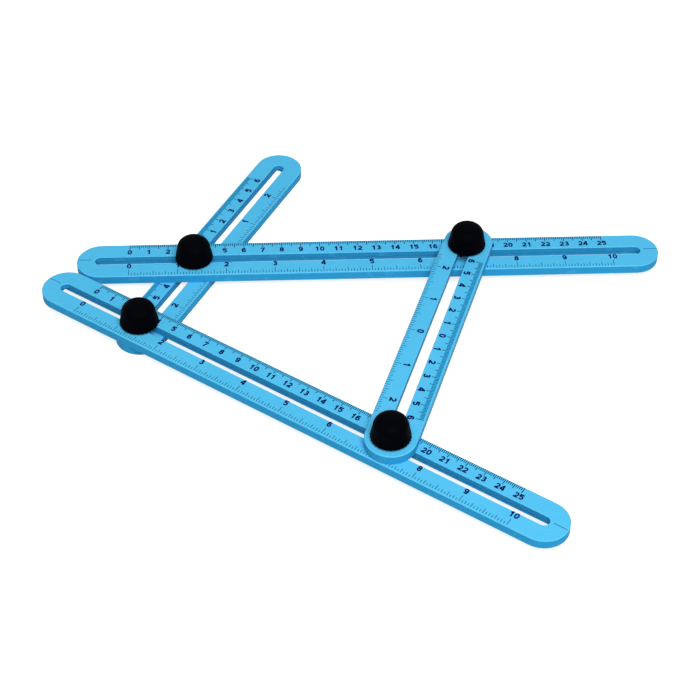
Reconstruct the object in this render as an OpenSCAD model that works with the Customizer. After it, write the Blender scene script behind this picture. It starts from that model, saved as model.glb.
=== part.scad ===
// Multi-angle folding ruler: two long and two short slotted arms, clamped at four crossings.
// Millimetres, +Z up. The lower short arm lies on z = 0, both long arms lie on it in one layer,
// and the upper short arm lies across them. The first long arm runs along X. The origin is the
// middle of the outline seen from above, at the level of the lowest face.

/* [Arms] */
// Width of every arm
arm_w = 25.4; // [20:0.1:32]
// Thickness of every arm
arm_t = 5.3; // [4:0.1:8]
// Length of a long arm, over its round ends
long_arm_len = 306.5; // [280:0.5:340]
// Length of a short arm, over its round ends
short_arm_len = 176; // [165:0.5:200]
// Web left between the slot and the round end of a long arm
long_web = 9.5; // [7:0.1:14]
// Web left between the slot and the round end of a short arm
short_web = 10; // [7:0.1:14]
// Chamfer along the outer edges of an arm
edge_chamfer = 0.4; // [0.2:0.1:1]
// Chamfer along the slot's upper rim
slot_chamfer = 0.25; // [0.1:0.05:0.5]

/* [Clamp bolts] */
// Diameter of a bolt's shank
shank_d = 4; // [3:0.1:5]
// Gap on each side of the shank in a slot
slot_play = 0.85; // [0.7:0.05:1.2]
// Reach of the square bolt head past the slot on each side
head_grip = 0.25; // [0.2:0.05:1.5]
// Thickness of the bolt head
head_t = 2.2; // [1.5:0.1:2.6]
// Gap on each side of the head in the channel behind a slot
head_play = 0.15; // [0.1:0.05:0.4]
// Depth that the head lies below the arm's back face
head_sink = 0.4; // [0.2:0.1:0.8]
// Height that the bolt stands up into its knob, above the washer
bolt_reach = 7.5; // [6:0.1:8.5]
// Chamfer at the bolt's tip
tip_chamfer = 0.5; // [0.2:0.1:0.9]

/* [Washers] */
// Outer diameter of the washer under a knob
washer_d = 12; // [10:0.1:15]
// Thickness of the washer
washer_t = 1; // [0.5:0.1:1.6]
// Gap between a shank and its washer
washer_play = 0.2; // [0.1:0.05:0.4]

/* [Knobs] */
// Diameter of a knob at its foot
knob_foot_d = 19.9; // [17:0.1:23]
// Diameter of a knob at the shoulder, where its top starts to round over
knob_shoulder_d = 17.4; // [15:0.1:20]
// Height of the knob's sloping side
knob_side_h = 6.5; // [5:0.1:8]
// Radius that rounds the knob's side into its top
knob_round_r = 5.4; // [4:0.1:7]
// Rise of the crowned top above the rounded shoulder
knob_crown_h = 0.7; // [0.3:0.1:1.5]
// Outer diameter of the threaded insert
insert_d = 6.4; // [5.8:0.1:8]
// Length of the insert past the bolt's tip
tip_room = 0.5; // [0.1:0.1:0.8]
// Gap between a shank and the thread crests of its insert
thread_play = 0.05; // [0.02:0.01:0.1]
// Gap between an insert and its socket in the knob
insert_play = 0.02; // [0.01:0.01:0.05]
// Depth of the knob's socket past the insert
socket_room = 0.5; // [0.2:0.1:1]

/* [Rest pose] */
// Angle between the two long arms
fold_angle = 36.4; // [34:0.1:40]
// Angle from the first long arm to the lower short arm
short_a_angle = 61.5; // [58:0.1:66]
// Angle from the first long arm to the upper short arm
short_b_angle = 70.8; // [67:0.1:75]
// Gap between the long arms where their left ends nearly meet
end_gap = 1.1; // [0.6:0.1:3]
// Distance along the second long arm from the point where both centre lines meet to its end
long_a_start = 22.3; // [15:0.1:30]
// Distance between the two bolts on the lower short arm
bolt_spacing_a = 55.9; // [50:0.1:62]
// Free slot beyond bolt 1 on the lower short arm
bolt_1_room = 0.35; // [0.3:0.05:3]
// Free slot beyond bolt 4 on the upper short arm
bolt_4_room = 0.45; // [0.3:0.05:3]
// Free slot beyond bolt 3 on the upper short arm
bolt_3_room = 4.75; // [3:0.05:12]

/* [Hidden] */

$fn = 96;
cut_extra = 1;
end_r = arm_w / 2;
slot_w = shank_d + 2 * slot_play;
slot_r = slot_w / 2;
head_side = slot_w + 2 * head_grip;
channel_w = head_side + 2 * head_play;
channel_depth = head_t + head_sink;
lip_t = arm_t - channel_depth;
long_slot_len = long_arm_len - 2 * long_web;
short_slot_len = short_arm_len - 2 * short_web;
shank_len = lip_t + arm_t + washer_t + bolt_reach;
insert_len = bolt_reach + tip_room;
socket_d = insert_d + 2 * insert_play;
socket_depth = insert_len + socket_room;

// A unit vector at an angle in the plane of the arms
function heading(angle) = [cos(angle), sin(angle)];

// The corner is the point where the centre lines of the two long arms would meet.
// A triangle from the corner to both bolts of a short arm gives each bolt's distance from it.
function far_side(base, base_angle) = base * sin(180 - fold_angle - base_angle) / sin(fold_angle);
function near_side(base, base_angle) = base * sin(base_angle) / sin(fold_angle);

// Places are first taken from the middle of the first long arm, and then moved to the origin.
corner = [-(long_arm_len / 2 - end_r) - (arm_w + end_gap) / sin(fold_angle), 0];
bolt_spacing_b = short_slot_len - shank_d - bolt_3_room - bolt_4_room;
long_a_angle = -fold_angle;
raw_bolt_2 = corner + [far_side(bolt_spacing_a, short_a_angle), 0];
raw_bolt_3 = corner + [far_side(bolt_spacing_b, short_b_angle), 0];
raw_bolt_1 = corner + near_side(bolt_spacing_a, short_a_angle) * heading(long_a_angle);
raw_bolt_4 = corner + near_side(bolt_spacing_b, short_b_angle) * heading(long_a_angle);
raw_long_b = [0, 0];
raw_long_a = corner + (long_a_start + long_arm_len / 2) * heading(long_a_angle);
raw_short_a = raw_bolt_1
    + (short_slot_len / 2 - shank_d / 2 - bolt_1_room) * heading(short_a_angle);
raw_short_b = raw_bolt_4
    + (short_slot_len / 2 - shank_d / 2 - bolt_4_room) * heading(short_b_angle);

// The round ends give the outline's reach, because every knob stays inside it.
function end_centres(mid, len, angle) =
    [for (side = [-1, 1]) mid + side * (len / 2 - end_r) * heading(angle)];
all_ends = concat(
    end_centres(raw_long_b, long_arm_len, 0),
    end_centres(raw_long_a, long_arm_len, long_a_angle),
    end_centres(raw_short_a, short_arm_len, short_a_angle),
    end_centres(raw_short_b, short_arm_len, short_b_angle)
);
end_xs = [for (p = all_ends) p.x];
end_ys = [for (p = all_ends) p.y];
origin = [(min(end_xs) + max(end_xs)) / 2, (min(end_ys) + max(end_ys)) / 2];

bolt_1_at = raw_bolt_1 - origin;
bolt_2_at = raw_bolt_2 - origin;
bolt_3_at = raw_bolt_3 - origin;
bolt_4_at = raw_bolt_4 - origin;

// Undersides of the three layers, and the faces that the washers lie on
low_z = 0;
mid_z = arm_t;
top_z = 2 * arm_t;
long_face_z = mid_z + arm_t;
short_face_z = top_z + arm_t;

// Half of an arm's cross-section, from its centre line out, with both outer edges chamfered
function half_section() = [
    [0, 0],
    [end_r - edge_chamfer, 0],
    [end_r, edge_chamfer],
    [end_r, arm_t - edge_chamfer],
    [end_r - edge_chamfer, arm_t],
    [0, arm_t]
];

// A bar with round ends along X, with its middle on the origin
module blank(len) {
    run = len - 2 * end_r;
    for (side = [0, 1])
        mirror([0, side, 0])
            translate([-run / 2, 0, 0])
                rotate([90, 0, 90])
                    linear_extrude(height = run)
                        polygon(half_section());
    for (side = [-1, 1])
        translate([side * run / 2, 0, 0])
            rotate_extrude()
                polygon(half_section());
}

// The slot itself: a prism with round ends along X, right through the arm
module slot_cut(len) {
    run = len - slot_w;
    through = arm_t + 2 * cut_extra;
    translate([-run / 2, -slot_r, -cut_extra])
        cube([run, slot_w, through]);
    for (side = [-1, 1])
        translate([side * run / 2, 0, -cut_extra])
            cylinder(d = slot_w, h = through);
}

// The channel behind a slot, with square ends that leave the bolt head room at the slot's end
module channel_cut(len) {
    run = len - shank_d + channel_w;
    translate([-run / 2, -channel_w / 2, -cut_extra])
        cube([run, channel_w, channel_depth + cut_extra]);
}

// The flare that chamfers a slot's upper rim: a wedge on each straight side, a cone at each end
module slot_flare(len) {
    run = len - slot_w;
    mouth_r = slot_r + slot_chamfer;
    translate([-run / 2, 0, 0])
        rotate([90, 0, 90])
            linear_extrude(height = run)
                polygon([[-slot_r, 0], [slot_r, 0], [mouth_r, slot_chamfer], [-mouth_r, slot_chamfer]]);
    for (side = [-1, 1])
        translate([side * run / 2, 0, 0])
            cylinder(r1 = slot_r, r2 = mouth_r, h = slot_chamfer);
}

// One slotted arm along X: a through slot, and behind it the wider channel for the bolt heads
module arm(len, slot_len) {
    difference() {
        blank(len);
        slot_cut(slot_len);
        translate([0, 0, arm_t - slot_chamfer])
            slot_flare(slot_len);
        channel_cut(slot_len);
    }
}

module place_arm(raw_mid, angle, z) {
    spot = raw_mid - origin;
    translate([spot.x, spot.y, z])
        rotate([0, 0, angle])
            children();
}

// A bolt whose square head fits the channel of the arm below, with its head's top face at z = 0
module bolt() {
    translate([-head_side / 2, -head_side / 2, -head_t])
        cube([head_side, head_side, head_t]);
    cylinder(d = shank_d, h = shank_len - tip_chamfer);
    translate([0, 0, shank_len - tip_chamfer])
        cylinder(d1 = shank_d, d2 = shank_d - 2 * tip_chamfer, h = tip_chamfer);
}

// Half of a knob's outline: foot, sloping side, rounded shoulder and low crown
module knob_outline() {
    round_x = knob_shoulder_d / 2 - knob_round_r;
    round_steps = 12;
    round_end = 70;
    crown_steps = 6;
    crown_x = round_x + knob_round_r * cos(round_end);
    crown_z = knob_side_h + knob_round_r * sin(round_end);
    polygon(concat(
        [[0, 0], [knob_foot_d / 2, 0]],
        [for (i = [0:round_steps])
            let (a = i * round_end / round_steps)
            [round_x + knob_round_r * cos(a), knob_side_h + knob_round_r * sin(a)]],
        [for (i = [1:crown_steps])
            let (s = 1 - i / crown_steps)
            [crown_x * s, crown_z + knob_crown_h * (1 - s * s)]]
    ));
}

// A knob with its foot on z = 0 and a blind socket for the insert
module knob() {
    difference() {
        rotate_extrude()
            knob_outline();
        translate([0, 0, -cut_extra])
            cylinder(d = socket_d, h = socket_depth + cut_extra);
    }
}

module washer() {
    difference() {
        cylinder(d = washer_d, h = washer_t);
        translate([0, 0, -cut_extra])
            cylinder(d = shank_d + 2 * washer_play, h = washer_t + 2 * cut_extra);
    }
}

module insert() {
    difference() {
        cylinder(d = insert_d, h = insert_len);
        translate([0, 0, -cut_extra])
            cylinder(d = shank_d + 2 * thread_play, h = insert_len + 2 * cut_extra);
    }
}

// Stand a piece on a bolt's axis, turned with the arm that holds the bolt's head
module at_bolt(spot, z, angle = 0) {
    translate([spot.x, spot.y, z])
        rotate([0, 0, angle])
            children();
}

module short_arm_a() {
    color("deepskyblue")
        place_arm(raw_short_a, short_a_angle, low_z)
            arm(short_arm_len, short_slot_len);
}

module long_arm_a() {
    color("deepskyblue")
        place_arm(raw_long_a, long_a_angle, mid_z)
            arm(long_arm_len, long_slot_len);
}

module long_arm_b() {
    color("deepskyblue")
        place_arm(raw_long_b, 0, mid_z)
            arm(long_arm_len, long_slot_len);
}

module short_arm_b() {
    color("deepskyblue")
        place_arm(raw_short_b, short_b_angle, top_z)
            arm(short_arm_len, short_slot_len);
}

module bolt_1() {
    color("silver")
        at_bolt(bolt_1_at, low_z + channel_depth, short_a_angle)
            bolt();
}

module bolt_2() {
    color("silver")
        at_bolt(bolt_2_at, low_z + channel_depth, short_a_angle)
            bolt();
}

module bolt_3() {
    color("silver")
        at_bolt(bolt_3_at, mid_z + channel_depth, 0)
            bolt();
}

module bolt_4() {
    color("silver")
        at_bolt(bolt_4_at, mid_z + channel_depth, long_a_angle)
            bolt();
}

module washer_1() {
    color("dimgray")
        at_bolt(bolt_1_at, long_face_z)
            washer();
}

module washer_2() {
    color("dimgray")
        at_bolt(bolt_2_at, long_face_z)
            washer();
}

module washer_3() {
    color("dimgray")
        at_bolt(bolt_3_at, short_face_z)
            washer();
}

module washer_4() {
    color("dimgray")
        at_bolt(bolt_4_at, short_face_z)
            washer();
}

module knob_1() {
    color("black")
        at_bolt(bolt_1_at, long_face_z + washer_t)
            knob();
}

module knob_2() {
    color("black")
        at_bolt(bolt_2_at, long_face_z + washer_t)
            knob();
}

module knob_3() {
    color("black")
        at_bolt(bolt_3_at, short_face_z + washer_t)
            knob();
}

module knob_4() {
    color("black")
        at_bolt(bolt_4_at, short_face_z + washer_t)
            knob();
}

module insert_1() {
    color("goldenrod")
        at_bolt(bolt_1_at, long_face_z + washer_t)
            insert();
}

module insert_2() {
    color("goldenrod")
        at_bolt(bolt_2_at, long_face_z + washer_t)
            insert();
}

module insert_3() {
    color("goldenrod")
        at_bolt(bolt_3_at, short_face_z + washer_t)
            insert();
}

module insert_4() {
    color("goldenrod")
        at_bolt(bolt_4_at, short_face_z + washer_t)
            insert();
}

short_arm_a();
long_arm_a();
long_arm_b();
short_arm_b();
bolt_1();
bolt_2();
bolt_3();
bolt_4();
washer_1();
washer_2();
washer_3();
washer_4();
knob_1();
knob_2();
knob_3();
knob_4();
insert_1();
insert_2();
insert_3();
insert_4();
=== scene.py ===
"""Visual model of a multi-angle folding ruler: four slotted arms with printed scales, and four clamps.

The arms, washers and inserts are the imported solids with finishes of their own. The printed scales are
thin ink solids on the arms. The ribbed knobs and the threaded bolts stand for their plain solids.
Lengths in the classes are millimetres on the real ruler, and a mesh is turned into metres when it is made.
"""
import logging
import math
from dataclasses import dataclass, field
from enum import Enum
from typing import Dict, List, Optional, Sequence, Tuple

import bpy
import numpy as np
from mathutils import Matrix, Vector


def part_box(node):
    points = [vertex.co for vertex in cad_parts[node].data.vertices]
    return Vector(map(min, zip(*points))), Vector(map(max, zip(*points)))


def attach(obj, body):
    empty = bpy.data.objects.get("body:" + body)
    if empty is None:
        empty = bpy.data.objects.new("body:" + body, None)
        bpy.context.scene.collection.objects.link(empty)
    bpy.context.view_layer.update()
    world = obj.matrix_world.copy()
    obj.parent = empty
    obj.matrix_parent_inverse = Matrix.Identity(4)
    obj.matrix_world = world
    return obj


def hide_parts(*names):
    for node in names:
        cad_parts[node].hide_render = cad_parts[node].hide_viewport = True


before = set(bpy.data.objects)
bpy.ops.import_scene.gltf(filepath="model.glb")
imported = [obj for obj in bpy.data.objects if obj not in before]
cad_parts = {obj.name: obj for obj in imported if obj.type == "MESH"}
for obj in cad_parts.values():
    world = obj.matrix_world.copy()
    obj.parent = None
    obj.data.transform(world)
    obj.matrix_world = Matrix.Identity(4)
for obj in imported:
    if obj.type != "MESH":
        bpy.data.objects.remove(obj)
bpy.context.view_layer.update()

LOG = logging.getLogger("folding_ruler")
MM = 0.001
INCH = 25.4
TAU = 2 * math.pi
Colour = Tuple[float, float, float]
Shape = Tuple[np.ndarray, List[Sequence[int]]]


# Meshes

def make_piece(name: str, points: np.ndarray, faces: List[Sequence[int]],
               smooth_deg: Optional[float] = None) -> bpy.types.Object:
    """Make a mesh object at the origin from points in millimetres.

    Args:
        name: the piece's name.
        points: N x 3 array of points in millimetres, in the ruler's frame.
        faces: index lists, wound so that they face outwards.
        smooth_deg: edges flatter than this angle are shaded smooth, or None for flat shading.

    Returns:
        The new object, linked to the scene.
    """
    mesh = bpy.data.meshes.new(name)
    mesh.from_pydata((np.asarray(points, float) * MM).tolist(), [], [list(map(int, f)) for f in faces])
    mesh.update()
    if smooth_deg is not None:
        mesh.polygons.foreach_set("use_smooth", np.ones(len(mesh.polygons), bool))
        mesh.set_sharp_from_angle(angle=math.radians(smooth_deg))
    piece = bpy.data.objects.new(name, mesh)
    bpy.context.scene.collection.objects.link(piece)
    return piece


def ring_faces(rows: int, columns: int, closed: bool = False) -> np.ndarray:
    """Quads of a grid that closes round its columns.

    Args:
        rows: rings in the grid, counted along the piece.
        columns: points in each ring, anticlockwise as seen from the far end.
        closed: whether the last ring also joins the first.

    Returns:
        An array of quads that face outwards, as indices into the flattened grid.
    """
    row = np.arange(rows if closed else rows - 1)[:, None] * columns
    above = (row + columns) % (rows * columns)
    col = np.arange(columns)[None, :]
    nxt = (col + 1) % columns
    quads = np.stack([row + col, row + nxt, above + nxt, above + col], axis=-1)
    return quads.reshape(-1, 4)


def closed_tube(grid: np.ndarray) -> Shape:
    """Close a stack of rings with a point in the middle of its first and its last ring.

    Args:
        grid: rows x columns x 3 array; the rings run from the lower end to the upper end.

    Returns:
        The points, and the faces with both ends filled by fans.
    """
    rows, columns = grid.shape[:2]
    points = np.vstack([grid.reshape(-1, 3), grid[0].mean(0), grid[-1].mean(0)])
    faces = ring_faces(rows, columns).tolist()
    col = np.arange(columns)
    nxt = (col + 1) % columns
    low, high = rows * columns, rows * columns + 1
    last = (rows - 1) * columns
    faces += np.stack([np.full(columns, low), nxt, col], axis=-1).tolist()
    faces += np.stack([np.full(columns, high), last + col, last + nxt], axis=-1).tolist()
    return points, faces


def boxes(low: np.ndarray, high: np.ndarray) -> Shape:
    """Many upright boxes as one mesh: each corner takes its low or its high value on each axis.

    Args:
        low: N x 3 array of lowest corners.
        high: N x 3 array of highest corners.

    Returns:
        The points and the quads of all the boxes.
    """
    pick = np.array([[0, 0, 0], [1, 0, 0], [1, 1, 0], [0, 1, 0], [0, 0, 1], [1, 0, 1], [1, 1, 1], [0, 1, 1]])
    sides = np.array([[0, 3, 2, 1], [4, 5, 6, 7], [0, 1, 5, 4], [1, 2, 6, 5], [2, 3, 7, 6], [3, 0, 4, 7]])
    points = low[:, None, :] + pick[None] * (high - low)[:, None, :]
    faces = sides[None] + (np.arange(len(low)) * 8)[:, None, None]
    return points.reshape(-1, 3), faces.reshape(-1, 4).tolist()


@dataclass(frozen=True)
class Place:
    """Where a piece stands: a spot, a height and a turn about the upright axis."""

    x: float
    y: float
    z: float
    turn_deg: float = 0.0

    def put(self, points: np.ndarray) -> np.ndarray:
        """Turn points about Z, then carry them to the spot.

        Args:
            points: N x 3 array in millimetres, in the piece's own frame.

        Returns:
            The same points in the ruler's frame.
        """
        a = math.radians(self.turn_deg)
        c, s = math.cos(a), math.sin(a)
        turned = points @ np.array([[c, s, 0], [-s, c, 0], [0, 0, 1]])
        return turned + np.array([self.x, self.y, self.z])


def middle_of(node: str) -> Tuple[float, float, float, float]:
    """The middle of a solid seen from above, and its lowest and highest level, in millimetres.

    Args:
        node: the solid's name.

    Returns:
        x, y, lowest z and highest z.
    """
    low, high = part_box(node)
    return ((low.x + high.x) / 2 / MM, (low.y + high.y) / 2 / MM, low.z / MM, high.z / MM)


# Finishes

class Board:
    """A node tree with short calls to add and join nodes."""

    def __init__(self, tree: bpy.types.NodeTree) -> None:
        """Keep the tree that nodes are added to."""
        self.tree = tree

    def add(self, kind: str, settings: Optional[Dict[str, object]] = None, **inputs: object
            ) -> bpy.types.Node:
        """Add a node, set its properties, and set or join its inputs.

        Args:
            kind: the node's type name.
            settings: properties of the node itself.
            **inputs: values or output sockets, by input name with _ for a space, or i0, i1 by index.

        Returns:
            The new node.
        """
        node = self.tree.nodes.new(kind)
        for key, value in (settings or {}).items():
            setattr(node, key, value)
        for key, value in inputs.items():
            numbered = key[0] == "i" and key[1:].isdigit()
            socket = node.inputs[int(key[1:]) if numbered else key.replace("_", " ")]
            if isinstance(value, bpy.types.NodeSocket):
                self.tree.links.new(value, socket)
            else:
                socket.default_value = value
        return node

    def math(self, operation: str, a: object, b: object = 0.0) -> bpy.types.NodeSocket:
        """A Math node's result."""
        return self.add("ShaderNodeMath", {"operation": operation}, i0=a, i1=b).outputs[0]

    def remap(self, value: object, from_low: float, from_high: float, low: float, high: float
              ) -> bpy.types.NodeSocket:
        """A value carried from one range to another, and held inside it."""
        return self.add("ShaderNodeMapRange", {"clamp": True}, Value=value, From_Min=from_low,
                        From_Max=from_high, To_Min=low, To_Max=high).outputs[0]

    def blend(self, factor: object, first: object, second: object) -> bpy.types.NodeSocket:
        """Mix two colours.

        Args:
            factor: 0 for the first colour, 1 for the second.
            first: a colour or an output socket.
            second: a colour or an output socket.

        Returns:
            The mixed colour's socket.
        """
        node = self.tree.nodes.new("ShaderNodeMix")
        node.data_type = "RGBA"
        for index, value in ((0, factor), (6, first), (7, second)):
            if isinstance(value, bpy.types.NodeSocket):
                self.tree.links.new(value, node.inputs[index])
            else:
                node.inputs[index].default_value = value
        return node.outputs[2]

    def noise(self, vector: object, scale: object, detail: float = 3.0, rough: float = 0.5
              ) -> bpy.types.NodeSocket:
        """A noise value from 0 to 1."""
        return self.add("ShaderNodeTexNoise", None, Vector=vector, Scale=scale, Detail=detail,
                        Roughness=rough).outputs["Fac"]

    def seen(self) -> bpy.types.NodeSocket:
        """1 for what the camera and reflections see, and 0 for the light that falls on the object."""
        path = self.add("ShaderNodeLightPath").outputs
        return self.math("MAXIMUM", path["Is Camera Ray"],
                         self.math("MAXIMUM", path["Is Glossy Ray"], path["Is Transmission Ray"]))


def new_group(name: str, inputs: Sequence[Tuple[str, str, object]], outputs: Sequence[Tuple[str, str]]
              ) -> Tuple[bpy.types.NodeTree, Board, bpy.types.Node, bpy.types.Node]:
    """Start a shader node group with named inputs and outputs.

    Args:
        name: the group's name.
        inputs: name, socket type and default of each input.
        outputs: name and socket type of each output.

    Returns:
        The group, its board, its input node and its output node.
    """
    group = bpy.data.node_groups.new(name, "ShaderNodeTree")
    for label, kind, default in inputs:
        socket = group.interface.new_socket(name=label, in_out="INPUT", socket_type=kind)
        if default is not None:
            socket.default_value = default
    for label, kind in outputs:
        group.interface.new_socket(name=label, in_out="OUTPUT", socket_type=kind)
    board = Board(group)
    return group, board, board.add("NodeGroupInput"), board.add("NodeGroupOutput")


# The noise values between which a cloud goes from its one look to its other.
CLOUD_RANGE = (0.3, 0.7)


def rim_rub_and_highlight_group() -> bpy.types.NodeTree:
    """Edge mask for pale edges, partly rubbing and partly a painted highlight: how far the rounded normal
    leans off the true one, broken up by noise.

    Returns:
        The group, with a mask that is 1 on rubbed edges and on edges given a painted highlight.
    """
    group, b, given, out = new_group(
        "rim_rub_and_highlight",
        [("Vector", "NodeSocketVector", None), ("Radius", "NodeSocketFloat", 0.0004),
         ("Break Up", "NodeSocketFloat", 900.0), ("Amount", "NodeSocketFloat", 1.0)],
        [("Mask", "NodeSocketFloat")])
    rounded = b.add("ShaderNodeBevel", {"samples": 4}, Radius=given.outputs["Radius"])
    true = b.add("ShaderNodeNewGeometry")
    lean = b.add("ShaderNodeVectorMath", {"operation": "DOT_PRODUCT"}, i0=rounded.outputs[0],
                 i1=true.outputs["Normal"]).outputs["Value"]
    flat, sharp = 0.985, 0.86
    edge = b.remap(lean, flat, sharp, 0.0, 1.0)
    broken = b.noise(given.outputs["Vector"], given.outputs["Break Up"], 4.0, 0.6)
    least, low, high = 0.25, 0.3, 0.62
    patches = b.remap(broken, low, high, least, 1.0)
    mask = b.math("MULTIPLY", b.math("MULTIPLY", edge, patches), given.outputs["Amount"])
    b.tree.links.new(mask, out.inputs["Mask"])
    return group


def moulded_grain_group() -> bpy.types.NodeTree:
    """Moulded plastic skin: slow clouding, fine eroded grain and a few drawn-out handling scratches.

    Returns:
        The group, with a cloud value, a grain height and a scratch mask.
    """
    group, b, given, out = new_group(
        "moulded_grain",
        [("Vector", "NodeSocketVector", None), ("Cloud Scale", "NodeSocketFloat", 60.0),
         ("Grain Scale", "NodeSocketFloat", 4000.0), ("Scratch Amount", "NodeSocketFloat", 0.3)],
        [("Cloud", "NodeSocketFloat"), ("Height", "NodeSocketFloat"), ("Scratches", "NodeSocketFloat")])
    vector = given.outputs["Vector"]
    cloud = b.noise(vector, given.outputs["Cloud Scale"], 4.0, 0.55)
    grain = b.noise(vector, given.outputs["Grain Scale"], 2.0, 0.6)
    streaks: List[bpy.types.NodeSocket] = []
    streak_scale, low, high = 160.0, 0.665, 0.69
    for turn, stretch in ((0.5, 9.0), (-0.9, 14.0)):
        laid = b.add("ShaderNodeMapping", None, Vector=vector, Rotation=(0.0, 0.0, turn),
                     Scale=(1.0, stretch, 1.0))
        streaks.append(b.remap(b.noise(laid.outputs[0], streak_scale, 1.0, 0.4), low, high, 0.0, 1.0))
    either = b.math("MAXIMUM", streaks[0], streaks[1])
    scratches = b.math("MULTIPLY", either, given.outputs["Scratch Amount"])
    height = b.math("SUBTRACT", grain, scratches)
    for label, socket in (("Cloud", cloud), ("Height", height), ("Scratches", scratches)):
        b.tree.links.new(socket, out.inputs[label])
    return group


def turned_rings_group() -> bpy.types.NodeTree:
    """Tool marks: fine level rings up the height, softened by noise.

    Returns:
        The group, with a ring height and a patina mask.
    """
    group, b, given, out = new_group(
        "turned_rings",
        [("Vector", "NodeSocketVector", None), ("Ring Scale", "NodeSocketFloat", 2600.0),
         ("Patina Scale", "NodeSocketFloat", 500.0)],
        [("Height", "NodeSocketFloat"), ("Patina", "NodeSocketFloat")])
    rings = b.add("ShaderNodeTexWave", {"bands_direction": "Z", "wave_profile": "SAW"},
                  Vector=given.outputs["Vector"], Scale=given.outputs["Ring Scale"], Distortion=0.8)
    low, high = 0.35, 0.75
    spots = b.noise(given.outputs["Vector"], given.outputs["Patina Scale"], 5.0, 0.6)
    patina = b.remap(spots, low, high, 0.0, 1.0)
    b.tree.links.new(rings.outputs["Fac"], out.inputs["Height"])
    b.tree.links.new(patina, out.inputs["Patina"])
    return group


class Effects:
    """The shared node groups, built once."""

    def __init__(self) -> None:
        """Build every group."""
        self.rub_and_highlight = rim_rub_and_highlight_group()
        self.grain = moulded_grain_group()
        self.rings = turned_rings_group()


def start_material(name: str) -> Tuple[bpy.types.Material, Board, bpy.types.Node, bpy.types.NodeSocket]:
    """Start a material with a Principled shader and Object coordinates.

    Args:
        name: the material's name.

    Returns:
        The material, its board, the Principled node and the coordinate socket.
    """
    material = bpy.data.materials.new(name)
    material.use_nodes = True
    material.node_tree.nodes.clear()
    board = Board(material.node_tree)
    shader = board.add("ShaderNodeBsdfPrincipled")
    board.add("ShaderNodeOutputMaterial", None, Surface=shader.outputs[0])
    return material, board, shader, board.add("ShaderNodeTexCoord").outputs["Object"]


def rgba(colour: Colour) -> Tuple[float, float, float, float]:
    """A colour with full alpha."""
    return (*colour, 1.0)


@dataclass(frozen=True)
class MouldedPlastic:
    """Injection-moulded plastic: clouded colour, painted shade on upright sides, fine grain, and pale edges
    that are partly rubbed and partly a painted highlight.
    """

    name: str
    base: Colour
    deep: Colour
    # Pale colour of scratches and edges; on the edges it is partly a painted highlight.
    rubbed_and_highlight: Colour
    # Painted shade: the darker colour that upright faces take.
    painted_side_shade: Colour
    roughness: Tuple[float, float]
    specular: float
    cloud_scale: float
    grain_scale: float
    grain_depth: float
    edge_radius: float
    edge_amount: float
    scratch_amount: float

    def build(self, effects: Effects) -> bpy.types.Material:
        """Build the material.

        Args:
            effects: the shared node groups.

        Returns:
            The finished material.
        """
        material, b, shader, where = start_material(self.name)
        grain = b.add("ShaderNodeGroup", {"node_tree": effects.grain}, Vector=where,
                      Cloud_Scale=self.cloud_scale, Grain_Scale=self.grain_scale,
                      Scratch_Amount=self.scratch_amount)
        rub_and_highlight = b.add("ShaderNodeGroup", {"node_tree": effects.rub_and_highlight}, Vector=where, Radius=self.edge_radius,
                     Amount=self.edge_amount)
        cloud = b.remap(grain.outputs["Cloud"], *CLOUD_RANGE, 0.0, 1.0)
        skin = b.blend(cloud, rgba(self.deep), rgba(self.base))
        # Painted shade: faces that stand upright take the darker side colour in place of the lit skin
        # colour.
        lean = b.add("ShaderNodeSeparateXYZ", None, Vector=b.add("ShaderNodeNewGeometry").outputs["Normal"])
        upright, level = 0.1, 0.6
        facing_up = b.remap(b.math("ABSOLUTE", lean.outputs["Z"]), upright, level, 0.0, 1.0)
        body = b.blend(facing_up, rgba(self.painted_side_shade), skin)
        scratch_pale, scratch_rough = 0.5, 0.12
        pale = b.math("MULTIPLY", grain.outputs["Scratches"], scratch_pale)
        marked = b.blend(pale, body, rgba(self.rubbed_and_highlight))
        # Edges blend to the pale colour: partly rubbing, partly a painted highlight along the edges.
        colour = b.blend(rub_and_highlight.outputs["Mask"], marked, rgba(self.rubbed_and_highlight))
        b.tree.links.new(colour, shader.inputs["Base Color"])
        rough = b.remap(grain.outputs["Cloud"], *CLOUD_RANGE, *self.roughness)
        scored = b.math("MULTIPLY", grain.outputs["Scratches"], scratch_rough)
        b.tree.links.new(b.math("ADD", rough, scored), shader.inputs["Roughness"])
        bump = b.add("ShaderNodeBump", None, Strength=1.0, Distance=self.grain_depth,
                     Height=grain.outputs["Height"])
        b.tree.links.new(bump.outputs[0], shader.inputs["Normal"])
        shader.inputs["Specular IOR Level"].default_value = self.specular
        return material


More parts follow.
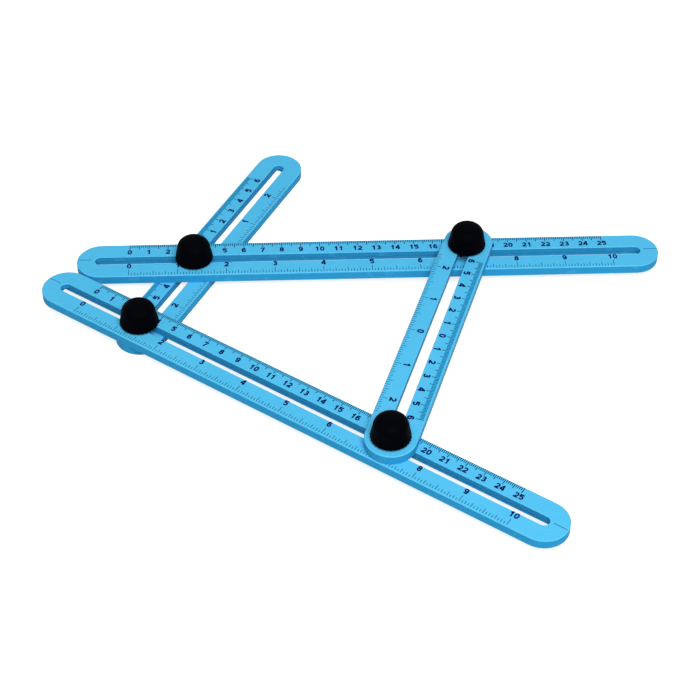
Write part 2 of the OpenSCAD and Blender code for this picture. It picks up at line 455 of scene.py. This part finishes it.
@dataclass(frozen=True)
class PrintedInk:
    """Screen-printed ink: a dark film with thin patches and a slightly raised, dry surface."""

    name: str
    base: Colour
    thin: Colour
    roughness: Tuple[float, float] = (0.5, 0.65)
    cloud_scale: float = 700.0
    grain_scale: float = 9000.0
    grain_depth: float = 0.000004
    scratch_amount: float = 0.5
    thin_most: float = 0.7
    specular: float = 0.04

    def build(self, effects: Effects) -> bpy.types.Material:
        """Build the material.

        Args:
            effects: the shared node groups.

        Returns:
            The finished material.
        """
        material, b, shader, where = start_material(self.name)
        grain = b.add("ShaderNodeGroup", {"node_tree": effects.grain}, Vector=where,
                      Cloud_Scale=self.cloud_scale, Grain_Scale=self.grain_scale,
                      Scratch_Amount=self.scratch_amount)
        full, bare = 0.5, 0.8
        patches = b.remap(grain.outputs["Cloud"], full, bare, 0.0, self.thin_most)
        thin = b.math("MAXIMUM", patches, grain.outputs["Scratches"])
        b.tree.links.new(b.blend(thin, rgba(self.base), rgba(self.thin)), shader.inputs["Base Color"])
        rough = b.remap(grain.outputs["Cloud"], *CLOUD_RANGE, *self.roughness)
        b.tree.links.new(rough, shader.inputs["Roughness"])
        bump = b.add("ShaderNodeBump", None, Strength=1.0, Distance=self.grain_depth,
                     Height=grain.outputs["Height"])
        b.tree.links.new(bump.outputs[0], shader.inputs["Normal"])
        shader.inputs["Specular IOR Level"].default_value = self.specular
        return material


@dataclass(frozen=True)
class TurnedMetal:
    """Turned or plated metal: ring marks, patina in patches, brighter rubbed edges."""

    name: str
    base: Colour
    dull: Colour
    bright: Colour
    roughness: Tuple[float, float]
    ring_scale: float
    ring_depth: float
    edge_radius: float = 0.0002
    edge_amount: float = 0.8

    def build(self, effects: Effects) -> bpy.types.Material:
        """Build the material.

        Args:
            effects: the shared node groups.

        Returns:
            The finished material.
        """
        material, b, shader, where = start_material(self.name)
        rings = b.add("ShaderNodeGroup", {"node_tree": effects.rings}, Vector=where,
                      Ring_Scale=self.ring_scale)
        rub_and_highlight = b.add("ShaderNodeGroup", {"node_tree": effects.rub_and_highlight}, Vector=where, Radius=self.edge_radius,
                     Amount=self.edge_amount)
        body = b.blend(rings.outputs["Patina"], rgba(self.base), rgba(self.dull))
        b.tree.links.new(b.blend(rub_and_highlight.outputs["Mask"], body, rgba(self.bright)), shader.inputs["Base Color"])
        rough = b.remap(rings.outputs["Patina"], 0.0, 1.0, *self.roughness)
        b.tree.links.new(rough, shader.inputs["Roughness"])
        bump = b.add("ShaderNodeBump", None, Strength=1.0, Distance=self.ring_depth,
                     Height=rings.outputs["Height"])
        b.tree.links.new(bump.outputs[0], shader.inputs["Normal"])
        shader.inputs["Metallic"].default_value = 1.0
        return material


ARM_FINISH = MouldedPlastic(
    name="arm_sky_plastic", base=(0.088, 0.505, 0.82), deep=(0.074, 0.478, 0.78), rubbed_and_highlight=(0.19, 0.66, 0.95),
    painted_side_shade=(0.028, 0.342, 0.665), roughness=(0.38, 0.48), specular=0.02, cloud_scale=45.0,
    grain_scale=3800.0, grain_depth=0.000008, edge_radius=0.0005, edge_amount=0.9, scratch_amount=0.22)
KNOB_FINISH = MouldedPlastic(
    name="knob_black_plastic", base=(0.0008, 0.0009, 0.0020), deep=(0.0005, 0.0006, 0.0014),
    rubbed_and_highlight=(0.003, 0.003, 0.004), painted_side_shade=(0.0006, 0.0007, 0.0018), roughness=(0.5, 0.62), specular=0.01,
    cloud_scale=160.0, grain_scale=5200.0, grain_depth=0.00001, edge_radius=0.0004, edge_amount=0.4,
    scratch_amount=0.1)
WASHER_FINISH = MouldedPlastic(
    name="washer_dark_nylon", base=(0.02, 0.02, 0.024), deep=(0.014, 0.014, 0.017),
    rubbed_and_highlight=(0.05, 0.05, 0.055), painted_side_shade=(0.016, 0.016, 0.02), roughness=(0.42, 0.55), specular=0.3,
    cloud_scale=300.0, grain_scale=6000.0, grain_depth=0.000008, edge_radius=0.0002, edge_amount=0.6,
    scratch_amount=0.2)
NUMERAL_INK = PrintedInk(name="numeral_ink", base=(0.0002, 0.0016, 0.105), thin=(0.0008, 0.008, 0.135))
TICK_INK = PrintedInk(name="tick_ink", base=(0.001, 0.008, 0.055), thin=(0.003, 0.03, 0.12))
FINE_TICK_INK = PrintedInk(name="fine_tick_ink", base=(0.008, 0.21, 0.44), thin=(0.015, 0.26, 0.52))
BOLT_FINISH = TurnedMetal(name="bolt_zinc_steel", base=(0.62, 0.63, 0.64), dull=(0.5, 0.505, 0.51),
                          bright=(0.78, 0.78, 0.77), roughness=(0.24, 0.42), ring_scale=1800.0,
                          ring_depth=0.000002)
INSERT_FINISH = TurnedMetal(name="insert_turned_brass", base=(0.80, 0.62, 0.30), dull=(0.55, 0.40, 0.17),
                            bright=(0.92, 0.76, 0.42), roughness=(0.22, 0.40), ring_scale=2600.0,
                            ring_depth=0.000004)


def dress(piece: bpy.types.Object, material: bpy.types.Material) -> None:
    """Give a piece its only material.

    Args:
        piece: the object to dress.
        material: the finished material.
    """
    piece.data.materials.clear()
    piece.data.materials.append(material)


# Printed scales

class Side(Enum):
    """The edge of an arm that a scale's lines start from."""

    CENTIMETRES = 1
    INCHES = -1


@dataclass(frozen=True)
class Scale:
    """One printed scale: its step, its reach, and how long each order of line is."""

    side: Side
    step: float
    first: int
    last: int
    zero_at: float
    line_start: float
    line_lengths: Tuple[Tuple[int, float], ...]
    line_width: float
    number_every: int = 0
    number_middle: float = 0.0
    number_height: float = 3.6
    number_width: float = 2.35
    ink: PrintedInk = TICK_INK

    def lines(self, low_z: float, high_z: float) -> Tuple[np.ndarray, np.ndarray]:
        """The scale's lines as boxes: one at each step, its length set by the largest order that divides it.

        A step whose order has no length gets no line.

        Args:
            low_z: the ink's underside.
            high_z: the ink's face.

        Returns:
            The lowest and highest corners of the boxes.
        """
        count = np.arange(self.first, self.last + 1)
        length = np.zeros(len(count))
        for order, reach in self.line_lengths:
            length = np.where(count % order == 0, reach, length)
        count, length = count[length > 0], length[length > 0]
        at = self.zero_at + count * self.step
        outer = self.side.value * self.line_start
        inner = self.side.value * (self.line_start - length)
        half = self.line_width / 2
        low = np.stack([at - half, np.minimum(outer, inner), np.full(len(count), low_z)], axis=-1)
        high = np.stack([at + half, np.maximum(outer, inner), np.full(len(count), high_z)], axis=-1)
        return low, high

    def numbers(self) -> List[Tuple[str, float, float]]:
        """List the scale's numbers. A scale with number_every at 0 has none.

        Returns:
            What each number says, and where its middle is along and across the arm.
        """
        if not self.number_every:
            return []
        return [(str(abs(count) // self.number_every), self.zero_at + count * self.step,
                 self.side.value * self.number_middle)
                for count in range(self.first, self.last + 1) if count % self.number_every == 0]


def arc(middle: Tuple[float, float], reach: Tuple[float, float], start_deg: float, end_deg: float,
        steps: int) -> np.ndarray:
    """Points along an ellipse: middle plus reach times the cosine and sine of an even run of angles.

    Args:
        middle: the ellipse's middle.
        reach: its half width and half height.
        start_deg: where it starts, anticlockwise from the right.
        end_deg: where it ends; less than the start for a clockwise run.
        steps: points along it.

    Returns:
        N x 2 array of points.
    """
    a = np.radians(np.linspace(start_deg, end_deg, steps))
    return np.stack([middle[0] + reach[0] * np.cos(a), middle[1] + reach[1] * np.sin(a)], axis=-1)


@dataclass(frozen=True)
class Figures:
    """The printed numerals: an upright bold face of even strokes, each number centred on its line."""

    width: float = 2.3
    height: float = 3.25
    stem: float = 0.78
    gap: float = 0.28
    steps: int = 11

    def strokes(self, digit: str) -> List[Tuple[np.ndarray, bool]]:
        """A digit's strokes: centre lines inside the digit's box, half a stem in from its edges.

        The curves are arcs of ellipses. The 0 is an ellipse with its cosine and its sine taken to the
        power of squareness, which fills out its corners.

        Args:
            digit: the digit.

        Returns:
            Each stroke's centre line, and whether it closes on itself.
        """
        w, h, n = self.width / 2, self.height / 2, self.steps
        a, b = w - self.stem / 2, h - self.stem / 2
        waist = 0.05 * h
        low, high = (waist - b) / 2, (waist + b) / 2
        bowl = 0.59 * b
        squareness = 0.84
        six = [(arc((0, bowl - b), (a, bowl), 0, 360 - 360 / (2 * n), 2 * n), True),
               (np.vstack([arc((0, 0.26 * b), (a, 0.74 * b), 32, 180, n), [[-a, bowl - b]]]), False)]
        angle = np.linspace(0, TAU, 2 * n, endpoint=False)
        drawn: Dict[str, List[Tuple[np.ndarray, bool]]] = {
            "0": [(np.stack([a * np.sign(np.cos(angle)) * np.abs(np.cos(angle)) ** squareness,
                             b * np.sign(np.sin(angle)) * np.abs(np.sin(angle)) ** squareness], axis=-1),
                   True)],
            "1": [(np.array([[0.18 * w, -h], [0.18 * w, h]]), False),
                  (np.array([[0.18 * w, 0.86 * b], [-0.62 * w, 0.47 * b]]), False)],
            "2": [(np.vstack([arc((0, 0.38 * b), (a, 0.62 * b), 165, -32, n),
                              [[-0.92 * a, -0.86 * b]]]), False),
                  (np.array([[-w, -b], [w, -b]]), False)],
            "3": [(np.vstack([arc((-0.04 * a, high), (0.88 * a, b - high), 158, -90, n),
                              [[-0.4 * a, waist]]]), False),
                  (np.vstack([[[-0.4 * a, waist]], arc((0, low), (a, b + low), 90, -158, n)]), False)],
            "4": [(np.array([[0.42 * w, -h], [0.42 * w, h]]), False),
                  (np.array([[-w, -0.42 * h], [w, -0.42 * h]]), False),
                  (np.array([[0.36 * w, 0.92 * h], [-0.86 * w, -0.4 * h]]), False)],
            "5": [(np.array([[-0.8 * w, b], [0.86 * w, b]]), False),
                  (np.array([[-0.62 * w, h], [-0.76 * w, -0.02 * h]]), False),
                  (arc((0, -0.36 * b), (a, 0.64 * b), 146, -155, n + 3), False)],
            "6": six,
            "7": [(np.array([[-w, b], [w, b]]), False),
                  (arc((1.25 * w, -h), (1.5 * w, 2 * b + 0.02), 100, 180, n)[2:], False)],
            "8": [(arc((0, high), (0.84 * a, b - high), 0, 360 - 360 / (2 * n), 2 * n), True),
                  (arc((0, low), (a, b + low), 0, 360 - 360 / (2 * n), 2 * n), True)],
            "9": [(-line, closed) for line, closed in six],
        }
        return drawn[digit]

    def ribbon(self, line: np.ndarray, closed: bool) -> Shape:
        """A stroke as a flat solid: its profile, a stem wide and one unit thick, carried along its line.

        Args:
            line: N x 2 centre line.
            closed: whether the line closes on itself.

        Returns:
            The points and faces. The thickness runs from 0 to 1.
        """
        ahead = np.roll(line, -1, 0) - np.roll(line, 1, 0) if closed else np.gradient(line, axis=0)
        ahead = ahead / np.linalg.norm(ahead, axis=1, keepdims=True)
        left = np.stack([-ahead[:, 1], ahead[:, 0]], axis=-1) * self.stem / 2
        rim = np.stack([line + left, line + left, line - left, line - left], axis=1)
        level = np.broadcast_to(np.array([0.0, 1.0, 1.0, 0.0])[None, :, None], (len(line), 4, 1))
        points = np.concatenate([rim, level], axis=-1).reshape(-1, 3)
        faces = ring_faces(len(line), 4, closed).tolist()
        if not closed:
            last = 4 * (len(line) - 1)
            faces += [[3, 2, 1, 0], [last, last + 1, last + 2, last + 3]]
        return points, faces

    def face(self) -> Dict[str, Shape]:
        """All ten digits.

        Returns:
            Points and faces by digit, about the digit's middle, one unit thick.
        """
        made = {}
        for digit in "0123456789":
            points, faces, count = [], [], 0
            for line, closed in self.strokes(digit):
                shape, sides = self.ribbon(line, closed)
                points.append(shape)
                faces += [[i + count for i in side] for side in sides]
                count += len(shape)
            made[digit] = (np.vstack(points), faces)
        return made


@dataclass
class Arm:
    """One slotted arm with its printed scales and index lines.

    The ink's face stands ink_rise over the arm and its underside lies ink_sink inside it. An index line
    runs along each end, between the two distances from the arm's middle that index_run gives.
    """

    node: str
    turn_deg: float
    scales: Tuple[Scale, ...]
    print_turned: bool = False
    index_run: Optional[Tuple[float, float]] = None
    index_width: float = 0.3
    index_across: float = 1.0
    ink_rise: float = 0.02
    ink_sink: float = 0.03
    pieces: List[bpy.types.Object] = field(default_factory=list)

    def place(self) -> Place:
        """The middle of the arm's printed face, turned the way that its print reads."""
        x, y, _, top = middle_of(self.node)
        return Place(x, y, top, self.turn_deg + (180.0 if self.print_turned else 0.0))

    def build_lines(self, ink: PrintedInk) -> Optional[bpy.types.Object]:
        """Build the lines that one ink prints as one mesh of thin boxes. Index lines go with TICK_INK.

        Args:
            ink: the ink.

        Returns:
            The lines' object, or None if the arm has no line in this ink.
        """
        lows, highs = [], []
        for scale in self.scales:
            if scale.ink == ink:
                low, high = scale.lines(-self.ink_sink, self.ink_rise)
                lows.append(low)
                highs.append(high)
        if not lows:
            return None
        if self.index_run and ink == TICK_INK:
            near, far = self.index_run
            half = self.index_width / 2
            low_y, high_y = self.index_across - half, self.index_across + half
            lows.append(np.array([[near, low_y, -self.ink_sink], [-far, low_y, -self.ink_sink]]))
            highs.append(np.array([[far, high_y, self.ink_rise], [-near, high_y, self.ink_rise]]))
        points, faces = boxes(np.vstack(lows), np.vstack(highs))
        suffix = "lines" if ink == TICK_INK else "fine_lines"
        return make_piece(f"{self.node}_{suffix}", self.place().put(points), faces)

    def build_numbers(self, figures: Figures, face: Dict[str, Shape]) -> bpy.types.Object:
        """Build every number of the arm as one mesh.

        Args:
            figures: the sizes of the numerals.
            face: points and faces by digit.

        Returns:
            The numbers' object.
        """
        points, faces, count = [], [], 0
        thick = self.ink_rise + self.ink_sink
        for scale in self.scales:
            wide = scale.number_width / figures.width
            size = np.array([wide, scale.number_height / figures.height, thick])
            for text, along, across in scale.numbers():
                pitch = wide * (figures.width + figures.gap)
                for index, digit in enumerate(text):
                    shape, sides = face[digit]
                    shift = along + (index - (len(text) - 1) / 2) * pitch
                    points.append(shape * size + np.array([shift, across, -self.ink_sink]))
                    faces += [[i + count for i in side] for side in sides]
                    count += len(shape)
        return make_piece(f"{self.node}_numbers", self.place().put(np.vstack(points)), faces)

    def build(self, figures: Figures, face: Dict[str, Shape], plastic: bpy.types.Material,
              inks: Dict[str, bpy.types.Material]) -> None:
        """Dress the arm's solid, print its scales, and make the print ride on the arm.

        Args:
            figures: the sizes of the numerals.
            face: points and faces by digit.
            plastic: the arm's material.
            inks: the inks' materials by name.
        """
        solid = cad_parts[self.node]
        dress(solid, plastic)
        printed = [(self.build_lines(ink), ink) for ink in (TICK_INK, FINE_TICK_INK)]
        printed.append((self.build_numbers(figures, face), NUMERAL_INK))
        self.pieces = [solid]
        for piece, ink in printed:
            if piece:
                dress(piece, inks[ink.name])
                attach(piece, self.node)
                self.pieces.append(piece)


# Clamps

@dataclass
class Knob:
    """A domed clamp knob: sloping ribbed side, rounded shoulder, low crown and a socket for its insert."""

    number: int
    foot_r: float = 9.95
    shoulder_r: float = 8.7
    side_h: float = 6.5
    round_r: float = 5.4
    round_end_deg: float = 70.0
    crown_h: float = 0.7
    foot_round: float = 0.35
    socket_r: float = 3.22
    socket_h: float = 8.5
    socket_bevel: float = 0.25
    axis_gap: float = 0.02
    crown_end: float = 0.004
    ribs: int = 30
    rib_depth: float = 0.3
    rib_top: float = 4.6
    rib_reach: float = 3.0
    hollow_power: float = 0.8
    turn_step_deg: float = 7.0
    smooth_deg: float = 28.0
    columns: int = 240
    foot_steps: int = 5
    side_steps: int = 18
    bend_steps: int = 14
    crown_steps: int = 10

    def profile(self) -> np.ndarray:
        """The outline from the socket's roof, down and out round the foot, and up to the crown.

        Returns:
            N x 2 array of radius and height. The foot's edge is a quarter circle, the side a straight
            slope, the shoulder an arc, and the crown a parabola that ends close to the axis.
        """
        socket = np.array([[self.axis_gap, self.socket_h], [self.socket_r, self.socket_h],
                           [self.socket_r, self.socket_bevel], [self.socket_r + self.socket_bevel, 0.0]])
        a = np.radians(np.linspace(-90, 0, self.foot_steps))
        foot = np.stack([self.foot_r - self.foot_round + self.foot_round * np.cos(a),
                         self.foot_round + self.foot_round * np.sin(a)], axis=-1)
        rise = np.linspace(0, 1, self.side_steps)[1:-1]
        side = np.stack([self.foot_r + (self.shoulder_r - self.foot_r) * rise,
                         self.foot_round + (self.side_h - self.foot_round) * rise], axis=-1)
        bend = np.radians(np.linspace(0, self.round_end_deg, self.bend_steps))
        middle = self.shoulder_r - self.round_r
        shoulder = np.stack([middle + self.round_r * np.cos(bend),
                             self.side_h + self.round_r * np.sin(bend)], axis=-1)
        share = np.linspace(1, self.crown_end, self.crown_steps)[1:]
        end_r, end_h = shoulder[-1]
        crown = np.stack([end_r * share, end_h + self.crown_h * (1 - share ** 2)], axis=-1)
        return np.vstack([socket, foot, side, shoulder, crown])

    def surface(self) -> np.ndarray:
        """The outline swept round the axis, with a hollow between each two ribs.

        The radius loses rib_depth times a raised cosine of the angle, to hollow_power, times a fade. The
        fade is 1 at the foot, falls smoothly to 0 at rib_top, and is 0 more than rib_reach inside the
        foot's edge.

        Returns:
            Rows x columns x 3 array of points.
        """
        line = self.profile()
        angle = np.linspace(0, TAU, self.columns, endpoint=False)
        radius, height = line[:, :1], line[:, 1:]
        up = np.clip(1 - height / self.rib_top, 0, 1)
        fade = up * up * (3 - 2 * up) * (radius > self.foot_r - self.rib_reach)
        hollow = (0.5 - 0.5 * np.cos(self.ribs * angle))[None, :] ** self.hollow_power
        r = radius - self.rib_depth * hollow * fade
        return np.stack([r * np.cos(angle), r * np.sin(angle), np.broadcast_to(height, r.shape)], axis=-1)

    def build(self, material: bpy.types.Material) -> bpy.types.Object:
        """Build and dress the knob in the place of its solid.

        Args:
            material: the knob's material.

        Returns:
            The knob's object.
        """
        node = f"knob_{self.number}"
        x, y, foot_z, _ = middle_of(node)
        points, faces = closed_tube(self.surface())
        place = Place(x, y, foot_z, self.turn_step_deg * self.number)
        piece = make_piece(f"{node}_ribbed", place.put(points), faces, self.smooth_deg)
        dress(piece, material)
        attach(piece, node)
        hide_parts(node)
        return piece


@dataclass
class Bolt:
    """A square-headed clamp bolt with a rolled thread."""

    number: int
    turn_deg: float
    head_side: float = 6.2
    head_t: float = 2.2
    head_edge: float = 0.25
    head_face_inset: float = 1.2
    corner_power: int = 24
    shank_r: float = 2.0
    pitch: float = 0.7
    thread_depth: float = 0.38
    thread_flat: float = 0.35
    plain: float = 0.2
    run_out: float = 1.1
    tip_taper: float = 0.5
    smooth_deg: float = 35.0
    columns: int = 48
    rings_per_turn: int = 8

    def surface(self, length: float) -> np.ndarray:
        """The head's rings and the shank's rings as one surface.

        A head ring is a square with softened corners: with p for corner_power, the radius at an angle is
        the half side over the p-th root of the sum of the p-th powers of cosine and sine. A shank ring is
        a circle that loses thread_depth times a triangle wave of height over pitch less the angle's share
        of a turn, whose crests and roots are cut flat. The wave starts at a distance of plain from the
        head and fades in over run_out, and the tip narrows over tip_taper.

        Args:
            length: the shank's length from the head's bearing face to the tip.

        Returns:
            Rows x columns x 3 array of points.
        """
        angle = np.linspace(0, TAU, self.columns, endpoint=False) + TAU / self.columns / 2
        p = self.corner_power
        square = (np.abs(np.cos(angle)) ** p + np.abs(np.sin(angle)) ** p) ** (-1 / p)
        half = self.head_side / 2
        inner, e = half - self.head_face_inset, self.head_edge
        head = np.array([[-self.head_t, inner], [-self.head_t, half - e], [-self.head_t + e, half],
                         [-e, half], [0.0, half - e], [0.0, inner]])
        r_head = head[:, 1:] * square[None, :]
        z_head = np.broadcast_to(head[:, :1], r_head.shape)
        count = int(length / self.pitch * self.rings_per_turn)
        z = np.linspace(0.0, length, count)[:, None]
        wave = np.mod(z / self.pitch - angle[None, :] / TAU, 1.0)
        triangle = 1 - np.abs(2 * wave - 1)
        groove = np.clip(triangle * (1 + self.thread_flat) - self.thread_flat / 2, 0, 1)
        fade = np.clip((z - self.plain) / self.run_out, 0, 1)
        narrow = np.clip((z - (length - self.tip_taper)) / self.tip_taper, 0, 1) * self.tip_taper
        r_shank = np.minimum(self.shank_r - self.thread_depth * groove * fade, self.shank_r - narrow)
        z_shank = np.broadcast_to(z, r_shank.shape)
        r, height = np.vstack([r_head, r_shank]), np.vstack([z_head, z_shank])
        return np.stack([r * np.cos(angle), r * np.sin(angle), height], axis=-1)

    def build(self, material: bpy.types.Material) -> bpy.types.Object:
        """Build and dress the bolt in the place of its solid.

        Args:
            material: the bolt's material.

        Returns:
            The bolt's object.
        """
        node = f"bolt_{self.number}"
        x, y, low, high = middle_of(node)
        bearing = low + self.head_t
        points, faces = closed_tube(self.surface(high - bearing))
        place = Place(x, y, bearing, self.turn_deg)
        piece = make_piece(f"{node}_threaded", place.put(points), faces, self.smooth_deg)
        dress(piece, material)
        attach(piece, f"clamp_{self.number}")
        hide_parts(node)
        return piece


@dataclass
class Clamp:
    """One crossing's clamp: bolt, washer, insert and knob."""

    number: int
    bolt_turn_deg: float

    def build(self, finishes: Dict[str, bpy.types.Material]) -> List[bpy.types.Object]:
        """Build the knob and bolt, and dress the washer and insert.

        Args:
            finishes: materials by the record's slot name.

        Returns:
            The clamp's shown objects.
        """
        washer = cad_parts[f"washer_{self.number}"]
        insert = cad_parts[f"insert_{self.number}"]
        dress(washer, finishes["washer_nylon"])
        dress(insert, finishes["insert_brass"])
        return [Knob(self.number).build(finishes["knob_plastic"]),
                Bolt(self.number, self.bolt_turn_deg).build(finishes["bolt_steel"]), washer, insert]


# The studio

@dataclass(frozen=True)
class Camera:
    """The photograph's camera: where it aims, how far off it stands and how it is turned."""

    aim: Tuple[float, float, float] = (-4.491, -9.673, 0.6)
    distance: float = 914.127
    azimuth_deg: float = 3.052
    elevation_deg: float = 43.154
    roll_deg: float = 0.802
    lens: float = 93.043
    sensor: float = 36.0
    clip: Tuple[float, float] = (0.01, 20.0)

    def build(self) -> None:
        """Put the camera at its distance from the aim, back along its own view direction."""
        az, el, roll = (math.radians(v) for v in (self.azimuth_deg, self.elevation_deg, self.roll_deg))
        forward = np.array([math.sin(az) * math.cos(el), math.cos(az) * math.cos(el), -math.sin(el)])
        level = np.array([math.cos(az), -math.sin(az), 0.0])
        upright = np.cross(level, forward)
        right = math.cos(roll) * level + math.sin(roll) * upright
        up = -math.sin(roll) * level + math.cos(roll) * upright
        spot = (np.array(self.aim) - self.distance * forward) * MM
        data = bpy.data.cameras.new("photo_camera")
        data.lens, data.sensor_width, data.sensor_fit = self.lens, self.sensor, "HORIZONTAL"
        data.clip_start, data.clip_end = self.clip
        camera = bpy.data.objects.new("photo_camera", data)
        bpy.context.scene.collection.objects.link(camera)
        turned = np.eye(4)
        turned[:3, 0], turned[:3, 1], turned[:3, 2], turned[:3, 3] = right, up, -forward, spot
        camera.matrix_world = Matrix(turned.tolist())
        bpy.context.scene.camera = camera


@dataclass(frozen=True)
class Studio:
    """A plain white floor under an even dome and one soft lamp. Lengths are in metres, power in watts."""

    dome: float = 0.26
    floor_colour: Colour = (0.58, 0.58, 0.58)
    floor_glow: float = 0.74
    floor_size: float = 6.0
    floor_drop: float = 0.00005
    lamp_spot: Tuple[float, float, float] = (0.12, -0.78, 1.27)
    lamp_size: float = 1.0
    lamp_power: float = 23.6

    def floor(self) -> None:
        """A plain floor just under the ruler, lifted to white for the camera and for reflections."""
        half = self.floor_size / 2 / MM
        z = -self.floor_drop / MM
        corners = np.array([[-half, -half, z], [half, -half, z], [half, half, z], [-half, half, z]])
        piece = make_piece("floor", corners, [[0, 1, 2, 3]])
        material = bpy.data.materials.new("floor_white")
        material.use_nodes = True
        material.node_tree.nodes.clear()
        b = Board(material.node_tree)
        diffuse = b.add("ShaderNodeBsdfDiffuse", None, Color=rgba(self.floor_colour))
        glow = b.add("ShaderNodeEmission", None, Color=(1.0, 1.0, 1.0, 1.0),
                     Strength=b.math("MULTIPLY", b.seen(), self.floor_glow))
        both = b.add("ShaderNodeAddShader", None, i0=diffuse.outputs[0], i1=glow.outputs[0])
        b.add("ShaderNodeOutputMaterial", None, Surface=both.outputs[0])
        piece.data.materials.append(material)

    def world(self) -> None:
        """An even dome that the camera and reflections see as white."""
        world = bpy.data.worlds.new("dome")
        bpy.context.scene.world = world
        world.use_nodes = True
        world.node_tree.nodes.clear()
        b = Board(world.node_tree)
        strength = b.math("ADD", b.math("MULTIPLY", b.seen(), 1.0 - self.dome), self.dome)
        back = b.add("ShaderNodeBackground", None, Color=(1.0, 1.0, 1.0, 1.0), Strength=strength)
        b.add("ShaderNodeOutputWorld", None, Surface=back.outputs[0])

    def lamp(self) -> None:
        """A square soft lamp aimed at the middle of the ruler."""
        data = bpy.data.lights.new("front_lamp", "AREA")
        data.shape, data.size, data.energy = "SQUARE", self.lamp_size, self.lamp_power
        lamp = bpy.data.objects.new("front_lamp", data)
        bpy.context.scene.collection.objects.link(lamp)
        back = np.array(self.lamp_spot) / np.linalg.norm(self.lamp_spot)
        side = np.cross([0.0, 1.0, 0.0], back)
        side /= np.linalg.norm(side)
        turned = np.eye(4)
        turned[:3, 0], turned[:3, 1], turned[:3, 2] = side, np.cross(back, side), back
        turned[:3, 3] = self.lamp_spot
        lamp.matrix_world = Matrix(turned.tolist())

    def build(self) -> None:
        """Build the floor, the dome and the lamp, and set the plain view transform."""
        self.floor()
        self.world()
        self.lamp()
        bpy.context.scene.view_settings.view_transform = "Standard"


# The ruler

LONG_ZERO = -125.9
LONG_SCALES = (
    Scale(Side.CENTIMETRES, step=1.0, first=0, last=250, zero_at=LONG_ZERO, line_start=12.25,
          line_lengths=((1, 2.0), (5, 3.3), (10, 3.5)), line_width=0.42,
          number_every=10, number_middle=6.5, number_height=3.5),
    Scale(Side.INCHES, step=INCH / 16, first=0, last=160, zero_at=LONG_ZERO + 0.1, line_start=11.9,
          line_lengths=((1, 1.5), (2, 2.0), (4, 2.6), (8, 3.2), (16, 4.1)), line_width=0.28,
          number_every=16, number_middle=4.7),
)
SHORT_SCALES = (
    Scale(Side.CENTIMETRES, step=1.0, first=-60, last=60, zero_at=0.0, line_start=11.8,
          line_lengths=((1, 2.2), (5, 0.0)), line_width=0.78, ink=FINE_TICK_INK),
    Scale(Side.CENTIMETRES, step=5.0, first=-12, last=12, zero_at=0.0, line_start=11.8,
          line_lengths=((1, 3.6), (2, 3.9)), line_width=0.40,
          number_every=2, number_middle=5.5, number_width=2.7),
    Scale(Side.INCHES, step=INCH / 16, first=-38, last=38, zero_at=0.0, line_start=12.25,
          line_lengths=((1, 1.5), (2, 1.9), (4, 2.4), (8, 2.9), (16, 3.6)), line_width=0.28,
          number_every=16, number_middle=5.8, number_width=2.7),
)


@dataclass
class Ruler:
    """The whole folding ruler: four arms and four clamps."""

    short_a_deg: float = 61.5
    long_a_deg: float = -36.4
    short_b_deg: float = 70.8
    index_run: Tuple[float, float] = (145.5, 152.4)

    def arms(self) -> List[Arm]:
        """The four arms, from the lowest layer up."""
        return [Arm("short_arm_a", self.short_a_deg, SHORT_SCALES),
                Arm("long_arm_a", self.long_a_deg, LONG_SCALES, index_run=self.index_run),
                Arm("long_arm_b", 0.0, LONG_SCALES, index_run=self.index_run),
                Arm("short_arm_b", self.short_b_deg, SHORT_SCALES, print_turned=True)]

    def clamps(self) -> List[Clamp]:
        """The four clamps. Each bolt's head is square to the slot that it slides in."""
        return [Clamp(1, self.short_a_deg), Clamp(2, self.short_a_deg), Clamp(3, 0.0),
                Clamp(4, self.long_a_deg)]

    def build(self, effects: Effects) -> None:
        """Build and dress every piece, and log each by name.

        Args:
            effects: the shared node groups.
        """
        finishes = {"arm_plastic": ARM_FINISH.build(effects), "knob_plastic": KNOB_FINISH.build(effects),
                    "washer_nylon": WASHER_FINISH.build(effects),
                    "bolt_steel": BOLT_FINISH.build(effects), "insert_brass": INSERT_FINISH.build(effects)}
        inks = {ink.name: ink.build(effects) for ink in (TICK_INK, FINE_TICK_INK, NUMERAL_INK)}
        figures = Figures()
        face = figures.face()
        for arm in self.arms():
            arm.build(figures, face, finishes["arm_plastic"], inks)
            LOG.info("arm %s: %s", arm.node, ", ".join(p.name for p in arm.pieces))
        for clamp in self.clamps():
            made = clamp.build(finishes)
            LOG.info("clamp %d: %s", clamp.number, ", ".join(p.name for p in made))


def main() -> None:
    """Build the camera, the studio and the ruler, in that order."""
    logging.basicConfig(level=logging.INFO, format="%(message)s")
    Camera().build()
    Studio().build()
    Ruler().build(Effects())


if __name__ == "__main__":
    main()
